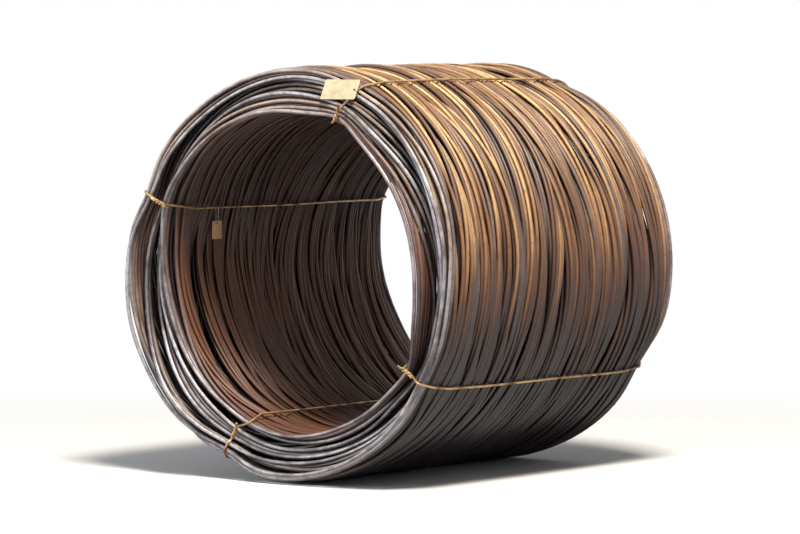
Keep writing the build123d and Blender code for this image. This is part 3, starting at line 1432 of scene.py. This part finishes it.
    def bore_loop(self, size: Vector, middle: Vector) -> None:
        """Builds the loop that the small tag hangs on, a ring drawn out long.

        Args:
            size: its size in the frame.
            middle: where its middle is.
        """
        loop = wire_ring("bore_tag_wire", (size.x - self.wire) / 2, self.wire, self.loop_parts)
        loop.data.transform(Matrix.Rotation(math.radians(90), 4, "X"))
        straight = size.z - size.x
        for point in loop.data.vertices:
            point.co.z += math.copysign(straight / 2, point.co.z)
        self.hang(loop, Matrix.Translation(middle), "bore_tag_loop")

    def hang(self, ring: bpy.types.Object, matrix: Matrix, node: str) -> None:
        """Puts a ring of thin wire in its place and hands it over.

        Args:
            ring: the ring.
            matrix: the move from where it was made.
            node: the CAD node that it stands for.
        """
        ring.data.transform(matrix)
        face_outwards(ring)
        bpy.ops.object.shade_smooth()
        hand_over(ring, self.thin, node)

    def build(self) -> None:
        """Builds both tags, each with the thin wire that holds it."""
        low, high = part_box("face_tag_ring")
        hook = (low + high) / 2
        radius = self.ring_place(math.hypot(hook.x, hook.z - self.ties.bundle.shape.outside))
        self.face_tag(radius, hook)
        self.face_ring(radius)

        low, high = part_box("bore_tag")
        strayed = self.bore_strayed((low.y + high.y) / 2)
        self.bore_tag(high - low, (low + high) / 2 + strayed)
        low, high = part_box("bore_tag_loop")
        self.bore_loop(high - low, (low + high) / 2 + strayed)


@dataclass
class Studio:
    """The pale floor, the soft lights and the camera."""

    shape: CoilShape
    azimuth: float = 37.0
    elevation: float = 3.0
    distance: float = 14.0
    lens: float = 205.0
    floor_size: float = 80
    near_floor: float = 1.0
    far_floor: float = 3.4
    floor_seen: tuple = (0.86, 0.86, 0.86, 1.0)
    floor_bounce: tuple = (0.4, 0.4, 0.4, 1.0)
    room_light: float = 0.2
    backdrop_light: float = 1.0

    # Each lamp's name, place, width, power in watts and colour.
    lamps: tuple = (
        ("key", (3.2, -2.6, 7.0), 1.8, 1000, (1.0, 0.93, 0.82)),
        ("fill", (-4.5, -6.0, 2.2), 3.5, 230, (0.86, 0.92, 1.0)),
    )

    def floor(self) -> None:
        """Lays the floor, which keeps the coil's shadow and turns white away from it."""
        deselect()
        bpy.ops.mesh.primitive_plane_add(size=self.floor_size, location=(0, 0, 0))
        ground = bpy.context.object
        ground.name = "floor"
        sheet = Shader("pale_floor")
        sheet.surface.inputs["Roughness"].default_value = 0.9
        tree = sheet.tree
        far = tree.nodes.new("ShaderNodeVectorMath")
        far.operation = "LENGTH"
        tree.links.new(sheet.places.outputs["Object"], far.inputs[0])
        away = sheet.step(far.outputs["Value"], self.near_floor, self.far_floor)
        path = tree.nodes.new("ShaderNodeLightPath")
        seen = sheet.number("MAXIMUM", path.outputs["Is Camera Ray"], path.outputs["Is Glossy Ray"])
        sheet.put(sheet.mix(seen, self.floor_bounce, self.floor_seen), sheet.surface.inputs["Base Color"])
        white = tree.nodes.new("ShaderNodeEmission")
        white.inputs["Strength"].default_value = 1.0
        blend = tree.nodes.new("ShaderNodeMixShader")
        tree.links.new(sheet.number("MULTIPLY", away, seen), blend.inputs[0])
        tree.links.new(sheet.surface.outputs[0], blend.inputs[1])
        tree.links.new(white.outputs[0], blend.inputs[2])
        tree.links.new(blend.outputs[0], tree.nodes["Material Output"].inputs["Surface"])
        ground.data.materials.append(sheet.material)

    def lamp(self, name: str, place: tuple, size: float, power: float, colour: tuple) -> None:
        """Hangs one soft lamp that points at the coil.

        Args:
            name: the lamp's name.
            place: where it hangs.
            size: how wide it is.
            power: its power in watts.
            colour: its light's colour.
        """
        deselect()
        bpy.ops.object.light_add(type="AREA", location=place)
        lamp = bpy.context.object
        lamp.name = name
        lamp.data.energy = power
        lamp.data.size = size
        lamp.data.color = colour
        aim = Vector((0, 0, self.shape.outside)) - Vector(place)
        lamp.rotation_euler = aim.to_track_quat("-Z", "Y").to_euler()

    def world(self) -> None:
        """Fills the room with even light and a white background."""
        world = bpy.data.worlds.new("studio")
        bpy.context.scene.world = world
        world.use_nodes = True
        tree = world.node_tree
        background = tree.nodes["Background"]
        background.inputs["Color"].default_value = (1, 1, 1, 1)
        path = tree.nodes.new("ShaderNodeLightPath")
        seen = tree.nodes.new("ShaderNodeMath")
        seen.operation = "MAXIMUM"
        tree.links.new(path.outputs["Is Camera Ray"], seen.inputs[0])
        tree.links.new(path.outputs["Is Glossy Ray"], seen.inputs[1])
        level = tree.nodes.new("ShaderNodeMapRange")
        level.inputs["To Min"].default_value = self.room_light
        level.inputs["To Max"].default_value = self.backdrop_light
        tree.links.new(seen.outputs[0], level.inputs["Value"])
        tree.links.new(level.outputs[0], background.inputs["Strength"])

    def camera(self) -> None:
        """Stands the camera where the photograph was taken from, as seen from the coil."""
        turn, rise = math.radians(self.azimuth), math.radians(self.elevation)
        target = Vector((0, 0, self.shape.outside))
        back = Vector((math.sin(turn) * math.cos(rise), -math.cos(turn) * math.cos(rise), math.sin(rise)))
        deselect()
        bpy.ops.object.camera_add(location=target + back * self.distance)
        camera = bpy.context.object
        camera.rotation_euler = (-back).to_track_quat("-Z", "Y").to_euler()
        camera.data.lens = self.lens
        camera.data.dof.use_dof = False
        bpy.context.scene.camera = camera

    def build(self) -> None:
        """Sets the whole stage."""
        self.floor()
        self.world()
        for lamp in self.lamps:
            self.lamp(*lamp)
        self.camera()
        bpy.context.scene.view_settings.view_transform = "Standard"


def main() -> None:
    """Builds the coil, its ties and its tags, and sets the stage."""
    logging.basicConfig(level=logging.INFO, format="%(name)s %(message)s")
    shape = CoilShape()
    bundle = RodBundle(shape, RolledRodFinish().make())
    bundle.build()
    ties = TieWires(bundle, TieWireFinish().make())
    ties.build()
    pale = BlankTagFinish(
        "pale_tag", face=srgb(180, 171, 144), grime=srgb(146, 128, 94), stain=srgb(112, 78, 52)
    )
    tan = BlankTagFinish(
        "tan_tag", face=srgb(236, 198, 150), grime=srgb(192, 150, 106), stain=srgb(124, 84, 56)
    )
    Tags(ties, pale.make(), tan.make(), ThinWireFinish().make()).build()
    Studio(shape).build()


if __name__ == "__main__":
    main()
